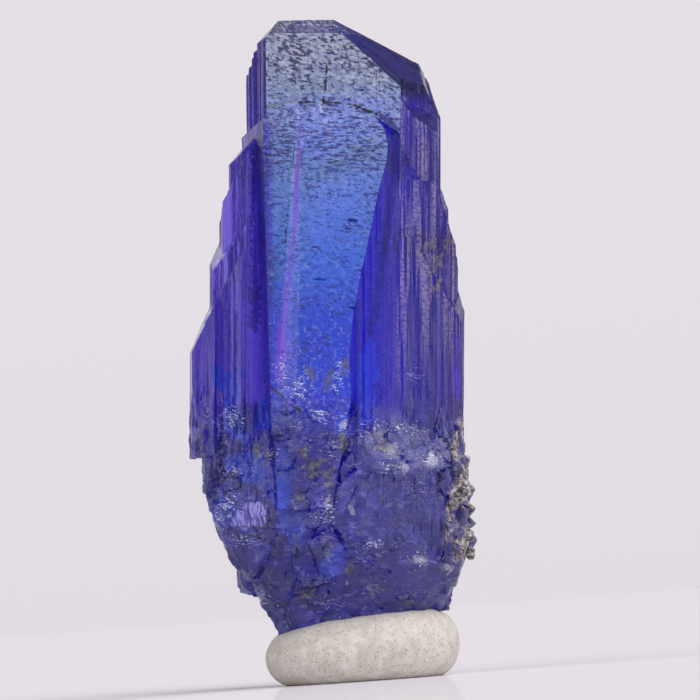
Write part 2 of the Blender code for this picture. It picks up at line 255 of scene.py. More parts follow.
def insideLoop(points, loop, clear):
    # which points are inside the loop and at least that far from its sides
    start, end = loop, np.roll(loop, -1, axis=0)
    keep = np.zeros(len(points), bool)
    for first in range(0, len(points), 2000):
        some = points[first:first + 2000]
        px, py = some[:, :1], some[:, 1:]
        sx, sy, ex, ey = start[:, 0], start[:, 1], end[:, 0], end[:, 1]
        with np.errstate(divide="ignore", invalid="ignore"):
            crossing = ((sy > py) != (ey > py)) & (px < (ex - sx) * (py - sy) / (ey - sy) + sx)
        side = end - start
        size = np.maximum((side ** 2).sum(1), 1e-12)
        share = np.clip(((px - sx) * side[:, 0] + (py - sy) * side[:, 1]) / size, 0, 1)
        gap = np.hypot(px - sx - share * side[:, 0], py - sy - share * side[:, 1]).min(1)
        keep[first:first + 2000] = (crossing.sum(1) % 2 == 1) & (gap > clear)
    return keep


def fillFaces(bm, rng):
    # fine triangles over every face; points on an edge are shared by both of its faces
    zones = [zoneOf(face) for face in bm.faces]
    planes = [planeOf(face, stone["spacing"][zone]) for face, zone in zip(bm.faces, zones)]
    bm.faces.index_update()
    points = [np.array(vertex.co) for vertex in bm.verts]
    onEdge = {}
    for edge in bm.edges:
        start, end = (np.array(vertex.co) for vertex in edge.verts)
        reach = max(np.hypot(*(np.dot(end - start, axis) for axis in planes[face.index]))
                    for face in edge.link_faces)
        parts = max(1, math.ceil(reach - 0.15))
        onEdge[edge.index] = list(range(len(points), len(points) + parts - 1))
        points.extend(start + (end - start) * step / parts for step in range(1, parts))
    triangles, owners = [], []
    for face in bm.faces:
        across, along = planes[face.index]
        ring = []
        for loop in face.loops:
            ring.append(loop.vert.index)
            between = onEdge[loop.edge.index]
            ring.extend(between if loop.edge.verts[0] == loop.vert else reversed(between))
        outline = np.array([points[i] for i in ring])
        flat = np.stack([outline @ across, outline @ along], 1)
        low, high = flat.min(0), flat.max(0)
        columns, rows = np.meshgrid(np.arange(low[0], high[0], 1.0),
                                    np.arange(low[1], high[1], stone["rowGap"]))
        columns = columns + (np.arange(len(columns)) % 2 * 0.5)[:, None]
        grid = np.stack([columns.ravel(), rows.ravel()], 1)
        grid += rng.uniform(-stone["jitter"], stone["jitter"], grid.shape)
        inner = grid[insideLoop(grid, flat, stone["edgeClear"])] if len(grid) else grid
        coordinates = [Vector(p) for p in flat] + [Vector(p) for p in inner]
        made = delaunay_2d_cdt(coordinates, [], [list(range(len(ring)))], 1, 1e-7)
        spots, cells, origins = made[0], made[2], made[3]
        names = {}
        sound = len(spots) == len(coordinates)
        for place, sources in enumerate(origins):
            names[place] = sources[0] if sources else None
            sound = sound and len(sources) == 1
        if not sound:  # a sliver that the filling would tear
            plain = tessellate_polygon([[Vector(points[i]) for i in ring]])
            triangles.extend([ring[i] for i in triangle] for triangle in plain)
            owners.extend([face.index] * len(plain))
            continue
        base = len(points) - len(ring)
        look = np.array(face.normal)
        lift = outline.mean(0) @ look
        solve = np.linalg.inv(np.stack([across, along, look]))
        for p in inner:
            points.append(solve @ np.array([p[0], p[1], lift]))
        for cell in cells:
            ids = [names[i] for i in cell]
            ids = [ring[i] if i < len(ring) else base + i for i in ids]
            triangles.append(ids)
            owners.append(face.index)
    return np.array(points), np.array(triangles), np.array(owners), zones


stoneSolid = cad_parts["tanzanite_crystal"]
faces = openFaces(stoneSolid)
rng = np.random.default_rng(stone["seed"])
points, triangles, owners, zones = fillFaces(faces, rng)
print("stone filled:", len(faces.faces), "faces,", len(points), "points,", len(triangles), "triangles")


def terraced(value, steps):
    # turns slopes into flat treads with short risers
    scaled = value * steps
    tread = np.floor(scaled)
    return (tread + ramp01(scaled - tread, *stone["striaRiser"])) / steps


def striaRelief(p):
    # growth lines that run the length of the crystal and fade in and out
    turn = np.arctan2(p[:, 1], p[:, 0]) * stone["striaRadius"]
    width, length, depth = stone["coarseStria"]
    coarse = softNoise(np.stack([turn / width, p[:, 2] / length, p[:, 2] * 0], 1), stone["seed"])
    width, length, fineDepth = stone["fineStria"]
    fine = softNoise(np.stack([turn / width, p[:, 2] / length, p[:, 2] * 0], 1), stone["seed"] + 1)
    left, right, calm = stone["calmLeft"]
    fine *= calm + (1 - calm) * ramp01(p[:, 0], left, right)
    return depth * terraced(coarse, stone["striaSteps"]) + fineDepth * fine


def etchDensity(p):
    # how thickly the front is pitted at each level: the brow, a band below it, then sparser
    size, high = stone["etchWander"]
    level = p[:, 2] + high * softNoise(p / size, stone["seed"] + 11)
    start, full, fading, end = stone["etchBand"]
    upper = ramp01(level, start, full) * (1 - ramp01(level, fading, end))
    sparse = stone["etchSparse"]
    return np.clip(sparse + (1 - sparse) * (ramp01(level, *stone["etchBrow"]) + upper), 0, 1)


def etchRelief(p):
    width, height, depth = stone["etchPit"]
    flat = np.stack([p[:, 0] / width, p[:, 2] / height, p[:, 1]], 1)
    dash = softNoise(flat, stone["seed"] + 12)
    size, high = stone["etchSwell"]
    swell = softNoise(p / np.array(size), stone["seed"] + 13)
    sparse, dense, full = stone["etchEdge"]
    return -depth * ramp01(dash, sparse - dense * etchDensity(p), full) + high * swell


def brokenRelief(p):
    size, high = stone["brokenLump"]
    relief = high * softNoise(p / size, stone["seed"] + 21)
    often, far = stone["chipWander"]
    for name, seed in (("brokenChip", 22), ("brokenFlake", 26)):
        size, high = stone[name]
        shifts = [softNoise(p / size * often, stone["seed"] + seed + n) for n in (0, 1, 2)]
        wander = far * np.stack(shifts, 1)
        relief += high * nearestGrain(p / size + wander, stone["seed"] + seed)[2]
    size, high = stone["brokenGrain"]
    return relief + high * softNoise(p / size, stone["seed"] + 23)


def crustShare(p):
    # the matrix crust sits on the right side of the broken end
    wander = sum(high * softNoise(p / size, stone["seed"] + 31 + number)
                 for number, (size, high) in enumerate(stone["crustWander"]))
    side = ramp01(p[:, 0] + wander, *stone["crustRight"])
    start, full, fading, end = stone["crustLevels"]
    level = ramp01(p[:, 2] + wander, start, full) * (1 - ramp01(p[:, 2] + wander, fading, end))
    front = 1 - ramp01(p[:, 1] + wander, *stone["crustBack"])
    return side * level * front


def crustRelief(p):
    size, high = stone["crustGrain"]
    gap, own = nearestGrain(p / size, stone["seed"] + 33)[:2]
    edge, least = stone["crustGrainShape"]
    return high * (edge - gap) * (least + own)


def reliefOn(points, triangles, owners, zones, looks):
    # moves every point along the faces that it lies on
    pairs = np.unique(np.stack([triangles.ravel(), np.repeat(owners, 3)], 1), axis=0)
    spots = points[pairs[:, 0]]
    kinds = np.array(zones)[pairs[:, 1]]
    height = np.zeros(len(pairs))
    for kind, relief in (("striated", striaRelief), ("etched", etchRelief), ("broken", brokenRelief)):
        chosen = kinds == kind
        height[chosen] = relief(spots[chosen])
    chosen = kinds == "tip"
    height[chosen] = stone["tipRelief"] * brokenRelief(spots[chosen])
    size, high = stone["lowWander"]
    level = spots[:, 2] + high * softNoise(spots / size, stone["seed"] + 41)
    lowShare = 1 - ramp01(level, *stone["lowEdge"])
    chosen = (kinds != "broken") & (lowShare > 0)
    height[chosen] += lowShare[chosen] * brokenRelief(spots[chosen])
    crust = crustShare(spots)
    height = height * (1 - crust) + crust * crustRelief(spots)
    moved = np.zeros_like(points)
    count = np.zeros(len(points))
    np.add.at(moved, pairs[:, 0], looks[pairs[:, 1]] * height[:, None])
    np.add.at(count, pairs[:, 0], 1)
    return points + moved / np.maximum(count, 1)[:, None]


def meshFrom(name, points, triangles):
    mesh = bpy.data.meshes.new(name)
    mesh.from_pydata(points.tolist(), [], triangles.tolist())
    piece = bpy.data.objects.new(name, mesh)
    scene.collection.objects.link(piece)
    return piece


def storeOn(mesh, name, kind, domain, values):
    attribute = mesh.attributes.new(name, kind, domain)
    values = np.ascontiguousarray(values, np.float32)
    attribute.data.foreach_set("vector" if kind == "FLOAT_VECTOR" else "value", values.ravel())


# What the photograph shows on the front: middles and half sizes in its pixels, and a turn in degrees
frontSpots = {
    "olive": [  # brown-grey specks of matrix caught between the blades
        (313, 379, 9, 10, 0), (329, 386, 9, 15, 10), (346, 371, 7, 16, 15), (316, 471, 18, 17, 0),
        (303, 455, 8, 14, 0), (330, 480, 8, 16, 10), (259, 455, 6, 16, 5), (427, 250, 8, 18, 50),
        (437, 266, 9, 20, 25), (437, 290, 7, 14, 20), (448, 243, 7, 20, 15), (201, 436, 7, 20, 0),
        (202, 458, 4, 10, 0), (307, 592, 15, 9, -10), (407, 602, 11, 7, 0), (350, 570, 5, 18, 5),
        (246, 132, 4, 12, 15), (300, 385, 3, 3, 0), (296, 545, 5, 14, 0), (248, 128, 4, 14, 20),
        (300, 500, 7, 22, 10), (384, 448, 13, 9, 0), (345, 445, 9, 12, 0), (268, 460, 5, 14, 0),
    ],
    "veil": [  # pale fracture veils, partly painted glitter where they catch the light
        (388, 452, 14, 15, 0), (404, 472, 9, 7, 0), (432, 463, 9, 16, 10),
        (398, 431, 42, 8, 4), (366, 440, 26, 12, 8), (344, 428, 8, 18, 20), (320, 420, 14, 10, 30),
        (286, 385, 18, 22, 0), (369, 555, 24, 22, 0), (258, 546, 20, 8, -10), (333, 455, 16, 26, 0),
        (330, 514, 13, 22, 35), (418, 560, 14, 11, 0), (448, 567, 14, 8, 20), (458, 588, 12, 12, 30),
        (228, 445, 18, 16, 30), (300, 430, 14, 14, 0), (420, 490, 34, 14, 0), (262, 592, 8, 16, -20),
        (330, 605, 34, 16, 10), (410, 595, 30, 14, -10), (222, 505, 12, 26, 10), (240, 470, 30, 8, 0),
        (208, 415, 9, 34, 0), (412, 380, 24, 14, 0), (330, 540, 16, 18, 0),
    ],
    "glint": [  # painted light: bright blue painted where light comes through clear spots
        (262, 381, 5, 12, 0), (240, 437, 22, 9, 25), (292, 532, 14, 24, 0), (284, 490, 12, 50, 0),
        (345, 410, 12, 34, 0), (232, 400, 22, 30, 0), (335, 560, 14, 16, 0), (366, 385, 10, 44, 4),
        (245, 475, 34, 26, 0), (224, 515, 14, 22, 0), (265, 420, 14, 30, 0),
    ],
    "gloom": [  # where nothing lights the inside
        (250, 412, 15, 30, 0), (310, 590, 24, 13, 0), (352, 574, 12, 26, 0), (232, 560, 16, 16, 0),
        (274, 588, 16, 26, 0), (400, 520, 36, 10, 0), (305, 468, 40, 44, 0), (214, 482, 9, 24, 0),
        (402, 604, 22, 9, 0), (330, 520, 20, 14, 0), (440, 540, 14, 22, 0),
        (236, 610, 10, 14, 0), (382, 480, 20, 10, 0), (272, 540, 12, 10, 0), (299, 500, 15, 30, 8),
        (300, 555, 12, 14, 0), (392, 552, 12, 16, 0),
    ],
    "spark": [  # painted highlights: the brightest glints on splinters
        (232, 506, 22, 28, 0), (221, 520, 14, 18, 0), (266, 457, 28, 10, 0), (236, 472, 30, 10, 0),
        (344, 430, 16, 28, 15), (321, 420, 24, 14, 30), (390, 470, 24, 12, 0), (366, 433, 34, 12, -20),
        (302, 390, 22, 30, 0), (246, 541, 28, 12, 0), (326, 514, 20, 26, 30), (398, 430, 48, 12, 4),
        (340, 380, 12, 34, 0), (284, 372, 14, 26, 0), (420, 562, 20, 14, 0), (375, 92, 9, 24, 0),
        (322, 118, 8, 18, 0), (372, 545, 28, 14, 0), (232, 420, 24, 30, 0),
        (430, 460, 18, 22, 0), (262, 600, 14, 20, 0),
    ],
    "dust": [  # a thin film of pale matrix on the broken faces
        (418, 560, 12, 8, 0), (447, 568, 11, 6, 10), (456, 584, 10, 8, 0), (404, 472, 6, 8, 0),
        (391, 456, 11, 10, 0), (376, 438, 10, 8, 0), (432, 463, 8, 12, 0), (345, 445, 7, 12, 0),
        (372, 590, 12, 10, 0), (330, 556, 8, 10, 0), (250, 575, 10, 8, 0),
    ],
    "shard": [  # small flat breaks, pale where they mirror the light
        (391, 451, 11, 9, 10), (403, 470, 7, 9, 0), (432, 462, 7, 11, 20), (419, 560, 10, 6, 20),
        (447, 568, 9, 5, 30), (345, 428, 5, 12, 20), (352, 512, 4, 9, -20), (376, 432, 12, 3, 0),
        (228, 508, 4, 6, 0), (222, 519, 5, 4, 0), (330, 500, 5, 8, 30), (262, 458, 8, 3, 0),
    ],
    "window": [(255, 516, 17, 15, 0), (246, 521, 13, 12, 0)],  # a flat crack that mirrors the light
    "glow": [  # violet where light comes through the thin blades
        (240, 300, 18, 56, 4), (222, 230, 12, 50, -6), (458, 350, 9, 80, 0), (284, 360, 14, 50, 3),
        (213, 330, 10, 70, 2), (230, 160, 7, 40, -10), (292, 410, 14, 26, 0),
    ],
}
frontPaths = {  # paths in pixels, each with half its width in mm at both ends
    "crack": [  # dark cracks
        ([(266, 386), (280, 397), (291, 407), (302, 416)], 0.06, 0.09),
        ([(287, 404), (289, 414), (290, 426)], 0.08, 0.04),
        ([(327, 74), (326, 92), (324, 112)], 0.09, 0.04),
        ([(322, 498), (350, 500), (392, 503)], 0.03, 0.04),
        ([(296, 150), (291, 200), (287, 250)], 0.02, 0.05),
        ([(300, 110), (322, 109), (352, 112), (376, 122)], 0.05, 0.08),
        ([(228, 530), (250, 527), (272, 531)], 0.05, 0.04),
        ([(230, 539), (252, 536), (270, 541)], 0.04, 0.05),
        ([(266, 505), (270, 517), (269, 530)], 0.05, 0.05),
        ([(402, 94), (403, 118), (399, 134)], 0.03, 0.05),
        ([(352, 560), (352, 590)], 0.03, 0.02), ([(361, 548), (360, 582)], 0.03, 0.02),
        ([(345, 555), (344, 584)], 0.03, 0.02),
    ],
    "ledge": [  # brown-grey along the step under the brow and in small hollows
        ([(258, 122), (268, 115), (280, 111), (302, 108)], 0.10, 0.07),
        ([(311, 373), (315, 383)], 0.24, 0.18),
        ([(332, 376), (328, 392)], 0.20, 0.18), ([(347, 365), (344, 380)], 0.12, 0.10),
    ],
    "ridge": [  # the narrow violet rib on the front
        ([(302, 118), (300, 160), (297, 210), (292, 260), (287, 320), (281, 380)], 0.07, 0.36),
    ],
    "shade": [  # the dark wedge right of the front, the left flute and the top bevel
        ([(381, 123), (393, 134), (397, 150), (393, 190), (386, 240), (379, 290), (370, 340)], 0.30, 0.20),
        ([(258, 150), (260, 230), (256, 330)], 0.55, 0.40),
        ([(345, 30), (380, 55), (418, 84)], 0.50, 0.60),
    ],
}


def spotField(p, spots):
    # 1 in the middle of a mark, 0 on its edge, down to -1 outside; only the front carries marks
    x = photoView["footPixel"][0] + p[:, 0] * photoView["pixelsPerMm"]
    down = photoView["footPixel"][1] - p[:, 2] * photoView["pixelsPerMm"]
    best = np.full(len(p), -1.0)
    for middleX, middleDown, halfWide, halfHigh, turn in spots:
        cos, sin = math.cos(math.radians(turn)), math.sin(math.radians(turn))
        right, lower = x - middleX, down - middleDown
        far = np.hypot((right * cos + lower * sin) / halfWide, (lower * cos - right * sin) / halfHigh)
        best = np.maximum(best, 1 - far)
    return np.where(p[:, 1] < stone["markedFront"], best, -1.0)


def pathField(p, paths):
    # 1 on a path, 0 at its edge, down to -1 outside
    flat = p[:, [0, 2]]
    best = np.full(len(p), -1.0)
    for path, first, last in paths:
        stops = np.array([atPixel(*stop) for stop in path])
        halves = np.linspace(first, last, len(stops))
        for number, (start, end) in enumerate(zip(stops, stops[1:])):
            side = end - start
            share = np.clip(((flat - start) @ side) / (side @ side), 0, 1)
            gap = np.linalg.norm(flat - start - share[:, None] * side, axis=1)
            half = halves[number] + (halves[number + 1] - halves[number]) * share
            best = np.maximum(best, 1 - gap / half)
    return np.where(p[:, 1] < stone["markedFront"], best, -1.0)


looks = np.array([face.normal[:] for face in faces.faces])
shaped = reliefOn(points, triangles, owners, zones, looks)
crystal = meshFrom("tanzaniteStone", fromStone(shaped), triangles)
storeOn(crystal.data, "place", "FLOAT_VECTOR", "POINT", points)
storeOn(crystal.data, "crust", "FLOAT", "POINT", crustShare(points))
for name, spots in frontSpots.items():
    storeOn(crystal.data, name, "FLOAT", "POINT", spotField(points, spots))
for name, paths in frontPaths.items():
    storeOn(crystal.data, name, "FLOAT", "POINT", pathField(points, paths))
kinds = np.array(zones)[owners]
for zone in ("striated", "etched", "tip"):
    storeOn(crystal.data, zone, "FLOAT", "FACE", kinds == zone)
crystal.data.shade_smooth()
crystal.data.set_sharp_from_angle(angle=math.radians(stone["sharpAngle"]))
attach(crystal, "root")
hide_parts("tanzanite_crystal")
print("stone shaped:", len(crystal.data.polygons), "triangles")


# Glints, glitter, reflections and part of the frost's white are painted light in its colour; the pits, the
# top and where no light reaches inside carry painted shade.
# Tanzanite is blue-violet zoisite, grown with lines along its length: glossy where its faces are
# whole, pale and frosted where the front is etched, glittering and clouded by cracks where it broke.
# A range below is the start and end of a noise or of a place in mm, and then the shares at both.
zoisite = {
    "ior": 1.695,
    "depthColour": "#5A46FA",
    "depthDensity": 200.0,  # per metre
    "clear": (0.85, 0.62),  # how much light goes through whole faces and through etched ones
    "clearUnder": {"pale": 0.25, "frost": 0.25, "stripe": 0.4, "earth": 0.1, "crack": 0.1, "crust": 0.0},
    "gloss": (0.3, 0.7, 0.06, 0.18),
    "dull": {"etched": 0.25, "pale": 0.30, "earth": 0.6, "crust": 0.85},  # least roughness under each
    "finestRelief": 0.07,  # mm
    "reliefStrength": 0.7,
    "grainRelief": 0.3,
    "linedRight": (-1.0, 1.0, 0.25, 1.0),
    "patternShift": (3.7, 1.3, 0.0),  # mm from each pattern to the next, so that none lies on another
    "patterns": {  # size in mm across, through and along, a turn in degrees, detail, roughness
        "wander": ((1.6, 1.6, 3.2), 0, 2, 0.5),
        "band": ((0.8, 0.8, 14.0), 0, 2, 0.5),
        "stripe": ((0.17, 0.17, 6.0), 0, 1, 0.5),
        "line": ((0.10, 0.10, 3.2), 0, 1, 0.5),  # the finest striae, drawn this coarse so that they show
        "dash": ((0.42, 0.30, 0.10), 0, 2, 0.65),
        "fleck": ((0.22, 0.20, 0.11), 25, 2, 0.65),
        "cloud": ((1.6, 1.6, 1.3), 0, 2, 0.6),
        "grit": ((0.26, 0.26, 0.26), 0, 2, 0.6),
        "level": ((0.34, 0.3, 0.05), 8, 2, 0.6),  # cracks are far thinner, and these are a pixel wide
        "rising": ((0.24, 0.3, 0.045), -50, 2, 0.6),
        "falling": ((0.42, 0.3, 0.05), 40, 2, 0.6),
        "grain": ((0.07, 0.07, 0.07), 0, 1, 0.5),  # surface grain, drawn as coarse as it needs to show
    },
    "scratchTurns": (0.46, 0.54),
    "marks": {  # what frays each mark's edge, its reach, the bar it has to pass and the softness
        "olive": ("grit", 0.40, 0.64, 0.10),
        "veil": ("scratch", 0.21, 0.74, 0.06),
        "glint": ("cloud", 0.25, 0.53, 0.08),
        "glow": ("cloud", 0.45, 0.55, 0.45),
        "crack": ("grit", 0.35, 0.62, 0.05),
        "ledge": ("grit", 0.3, 0.6, 0.05),
        "window": ("grit", 0.9, 0.62, 0.08),
        "dust": ("fleck", 0.30, 0.56, 0.12),
        "shard": ("grit", 0.55, 0.68, 0.10),
        "gloom": ("cloud", 0.30, 0.50, 0.20),
        "spark": ("scratch", 0.21, 0.74, 0.04),
        "ridge": ("stripe", 0.4, 0.58, 0.30),
        "shade": ("fleck", 0.4, 0.62, 0.10),
    },
    "side": {
        "span": (-7.2, 5.2),  # mm, from left to right
        "ramp": [(0.0, "#8A54FC"), (0.14, "#A47CFF"), (0.26, "#7A56FF"),
                 (0.38, "#5842FC"), (0.56, "#3A28F4"), (0.68, "#3422C8"),
                 (0.84, "#402890"), (0.93, "#3E2084"), (1.0, "#602CA4")],
        "bandColour": "#2A1CB0",
        "band": (0.60, 0.42, 0.0, 0.48),
        # painted reflection of a softbox on the striated faces
        "reflectionStripeColour": "#B2A4C4",
        "wideStripe": (0.50, 0.56),
        "thinStripe": (0.54, 0.61),
        "stripeRight": (0.6, 1.8, 0.08, 0.78),
        "stripeHigh": (11.0, 17.0, 0.35, 1.0),
        "stripeCluster": (0.40, 0.56, 0.35, 1.0),
        "stripeBreaks": (0.42, 0.52, 0.55, 1.0),
        # painted shade on the faces at the top
        "tipShadeColour": "#0A0460",
        "tipShade": 0.9,
        "tipWander": 1.2,  # mm
        "tipHigh": (25.7, 26.4),
        "fleckColour": "#A090D0",
        "fleckLow": (0.5, 1.0, 0.0, 0.6),
        "fleckEdge": (0.52, 0.58),
        "fleckHigh": (20.0, 23.0),
    },
    "front": {
        "span": (8.0, 28.0),  # mm, the levels that the front's colours cover
        "ramp": [(0.0, "#3A30D0"), (0.20, "#2438E0"), (0.30, "#1654EC"),
                 (0.42, "#1E62E8"), (0.54, "#4C9AFC"), (0.66, "#78B2FC"),
                 (0.80, "#98C4F6"), (0.88, "#BCD8FF"), (1.0, "#E2ECFF")],
        "levelWander": 1.6,  # mm
        "featherColour": "#3024C0",
        "featherWander": 1.5,  # mm
        "feather": (-2.85, -3.25),
        "featherLow": (24.6, 23.6),
        "mottles": [("grain", (0.54, 0.64, 0.0, 0.30), "#2436B0"),
                    ("grit", (0.44, 0.34, 0.0, 0.45), "#A8CCFF"),
                    ("grit", (0.56, 0.66, 0.0, 0.45), "#2C44C4")],
        # painted shade in the etch pits and along the top rim; the white frost is partly painted
        # highlights
        "etchColour": "#17165E",
        "pitShade": (20.0, 24.0, 0.6, 0.85),
        "rimColour": "#3C2E70",
        "rimShade": 0.6,
        "crest": (28.0, 28.2),
        "frostColour": "#F4F6FF",
        "frostEdge": (0.50, 0.36),
        "frostHigh": (21.0, 27.0, 0.05, 0.40),
    },
    "etch": {
        "brow": (26.0, 28.4),
        "upper": (22.0, 23.3),
        "lower": (26.0, 24.4, 0.3, 1.0),
        "patchy": (0.44, 0.60, 0.12, 0.66),
        "dashBar": (0.0, 1.0, 0.65, 0.525),  # what the noise has to pass, from bare to dense places
        "fleckBar": (0.0, 1.0, 0.60, 0.53),
        "clump": (0.42, 0.58, 0.05, -0.02),
        "soft": 0.03,
    },
    "brokenEnd": {
        "reach": (13.8, 11.6),
        "wander": 2.4,  # mm
        "ramp": [(0.38, "#0E0878"), (0.46, "#2018B8"), (0.54, "#362ED0"), (0.62, "#4E48C8"),
                 (0.72, "#706AC8")],
        "rightColour": "#5650A0",
        "right": (-1.5, 1.5, 0.0, 0.65),
        "bend": 0.5,  # mm
        "chipShadeColour": "#151080",
        # chips per mm, the ones painted darker as painted shade, the ones painted pale as painted glints
        "chips": [(1.7, (0.35, 0.10, 0.0, 0.60), (0.75, 0.98, 0.0, 0.24)),
                  (4.5, (0.32, 0.10, 0.0, 0.50), (0.86, 0.99, 0.0, 0.36))],
        "scratch": (0.68, 0.76, 0.0, 0.55),
        "unlit": (0.0, 1.0, 1.0, 0.2),
        "paleRight": (-1.0, 2.0, 1.0, 0.75),
    },
    "glitter": {  # painted glitter: tiny highlights on chips, 0.05 mm wide
        "perMm": 3.6,
        "size": (0.20, 0.09),
        "bright": (0.74, 0.98, 0.25, 0.75),
        "faintest": 0.251,
        "onBroken": (1.0, -1.0, 0.25, 1.0),
        "onLeft": (-2.6, -4.0, 0.0, 0.6),
    },
    # painted light (glow, glint) and painted shade (gloom, shade) laid over the body; the violet rib is
    # the stone's own
    "washes": [("glow", "#8E58FF", 0.80), ("glint", "#1A60FF", 0.85), ("gloom", "#0E0A6C", 0.6),
               ("shade", "#1A1288", 0.8), ("ridge", "#9450F2", 0.85)],
    # pale lavender for the fracture veils and for painted highlights
    "veil": ("#B8B2E8", 0.7),
    "dust": ("#8E9290", 0.6),
    "shard": ("#BCB8CC", 0.7),
    # painted highlights in near white
    "spark": ("#E8F0FF", (0.40, 0.56, 0.25, 0.95)),
    "window": ("#A6A0F0", (0.40, 0.60, 1.0, 0.30)),
    "matrixRamp": [(0.38, "#1E1B1A"), (0.48, "#403B34"), (0.58, "#5E594E"), (0.72, "#8E8A82")],
    "matrix": 0.72,
    "crackColour": "#1A171C",
    "crustRamp": [(0.34, "#40363C"), (0.45, "#6C6064"), (0.56, "#928884"), (0.68, "#D2CAC6")],
    "crustSpecks": [((0.55, 0.60, 0.0, 0.75), "#DAD6D2"), ((0.45, 0.40, 0.0, 0.75), "#2C2826")],
    "crustGaps": (0.43, 0.50, 0.25, 1.0),
}


def stonePatterns(add, place):
    noise = {}
    for number, (name, (size, turn, detail, rough)) in enumerate(zoisite["patterns"].items()):
        away = tuple(number * step for step in zoisite["patternShift"])
        scaled = add("Mapping", [place, away, (0.0, math.radians(turn), 0.0), size], vector_type="TEXTURE")
        finely = {"Vector": scaled, "Scale": 1.0, "Detail": detail, "Roughness": rough}
        noise[name] = add("TexNoise", finely)

    # pale scratches where small cracks catch the light, each kind in its own patches
    turned = add("MapRange", [noise["cloud"], *zoisite["scratchTurns"]])
    scratch = add("Mix", {0: turned, 2: noise["rising"], 3: noise["falling"]}, data_type="FLOAT")
    noise["scratch"] = add("Math", [scratch, noise["level"]], **larger)
    return noise


def stoneMarks(add, noise):
    # the zones and marks that the mesh carries; the marks' edges are frayed by noise
    names = ("striated", "etched", "tip", "crust", *frontSpots, *frontPaths)
    mark = {name: add("Attribute", out="Fac", attribute_name=name) for name in names}
    for name, (source, reach, bar, soft) in zoisite["marks"].items():
        worn = add("Math", [mark[name], reach, noise[source]], **timesAndAdd)
        mark[name] = add("MapRange", [worn, bar, bar + soft], **smooth)
    return mark


def sideColour(add, x, z, noise, mark):
    # violet at the thin blades, indigo between them, drawn out in bands along the crystal
    look = zoisite["side"]
    colour = add("ValToRGB", [add("MapRange", [x, *look["span"]])], ramp=look["ramp"])
    band = add("MapRange", [noise["band"], *look["band"]], **smooth)
    colour = add("Mix", {0: band, 6: colour, 7: look["bandColour"]}, **colourMix)

    # painted reflections: pale stripes on the right, in clusters and with breaks, where the striated faces
    # mirror a softbox
    wide = add("MapRange", [noise["stripe"], *look["wideStripe"]], **smooth)
    thin = add("MapRange", [noise["line"], *look["thinStripe"]], **smooth)
    stripe = add("Math", [wide, thin], **larger)
    for share in (add("MapRange", [x, *look["stripeRight"]], **smooth),
                  add("MapRange", [z, *look["stripeHigh"]]),
                  add("MapRange", [noise["band"], *look["stripeCluster"]]),
                  add("MapRange", [noise["fleck"], *look["stripeBreaks"]]), mark["striated"]):
        stripe = add("Math", [stripe, share], **times)
    colour = add("Mix", {0: stripe, 6: colour, 7: look["reflectionStripeColour"]}, **colourMix)

    # painted shade: the faces at the top are painted dark, and flecked below that
    high = add("Math", [noise["fleck"], look["tipWander"], z], **timesAndAdd)
    high = add("Math", [mark["tip"], add("MapRange", [high, *look["tipHigh"]])], **times)
    dark = add("Math", [high, look["tipShade"]], **times)
    colour = add("Mix", {0: dark, 6: colour, 7: look["tipShadeColour"]}, **colourMix)
    fleck = add("MapRange", [add("Math", [mark["tip"], dark], operation="SUBTRACT"), *look["fleckLow"]])
    for share in (add("MapRange", [noise["fleck"], *look["fleckEdge"]]),
                  add("MapRange", [z, *look["fleckHigh"]])):
        fleck = add("Math", [fleck, share], **times)
    colour = add("Mix", {0: fleck, 6: colour, 7: look["fleckColour"]}, **colourMix)
    return colour, stripe


def etchMarks(add, level, noise):
    # flecks all over the brow, level dashes in a band under it, then fewer
    look = zoisite["etch"]
    brow, upper, lower = (add("MapRange", [level, *look[name]], **smooth)
                          for name in ("brow", "upper", "lower"))
    dense = add("Math", [upper, lower], **times)
    dense = add("Math", [dense, add("MapRange", [noise["cloud"], *look["patchy"]])], **larger)
    clump = add("MapRange", [noise["cloud"], *look["clump"]])
    bars = {"dash": add("MapRange", [dense, *look["dashBar"]]),
            "fleck": add("Math", [add("MapRange", [brow, *look["fleckBar"]]), clump], operation="ADD")}
    pits = []
    for name, bar in bars.items():
        over = add("Math", [noise[name], bar], operation="SUBTRACT")
        pits.append(add("MapRange", [over, 0.0, look["soft"]], **smooth))
    return add("Math", pits, **larger)


def frontColour(add, x, z, noise, mark):
    # steel blue above, royal blue below, feathered into indigo at its left edge
    look = zoisite["front"]
    level = add("Math", [noise["wander"], look["levelWander"], z], **timesAndAdd)
    colour = add("ValToRGB", [add("MapRange", [level, *look["span"]])], ramp=look["ramp"])
    feather = add("Math", [noise["fleck"], look["featherWander"], x], **timesAndAdd)
    feather = add("MapRange", [feather, *look["feather"]], **smooth)
    low = add("MapRange", [z, *look["featherLow"]], **smooth)
    feather = add("Math", [feather, low], **times)
    colour = add("Mix", {0: feather, 6: colour, 7: look["featherColour"]}, **colourMix)
    for name, span, tone in look["mottles"]:
        share = add("MapRange", [noise[name], *span])
        colour = add("Mix", {0: share, 6: colour, 7: tone}, **colourMix)

    # painted shade in the pits and along the top rim, and white frost between the pits that is partly
    # painted highlights
    rim = add("Math", [mark["tip"], add("MapRange", [z, *look["crest"]])], **times)
    frosted = add("Math", [rim, mark["etched"]], **larger)
    etch = add("Math", [etchMarks(add, level, noise), frosted], **times)
    dark = add("Math", [etch, add("MapRange", [level, *look["pitShade"]])], **times)
    rim = add("Math", [rim, look["rimShade"]], **times)
    frost = add("MapRange", [noise["fleck"], *look["frostEdge"]], **smooth)
    frost = add("Math", [frost, add("MapRange", [level, *look["frostHigh"]])], **times)
    frost = add("Math", [frost, frosted], **times)
    for share, tone in ((dark, "etchColour"), (rim, "rimColour"), (frost, "frostColour")):
        colour = add("Mix", {0: share, 6: colour, 7: look[tone]}, **colourMix)
    return colour, frosted, frost, etch


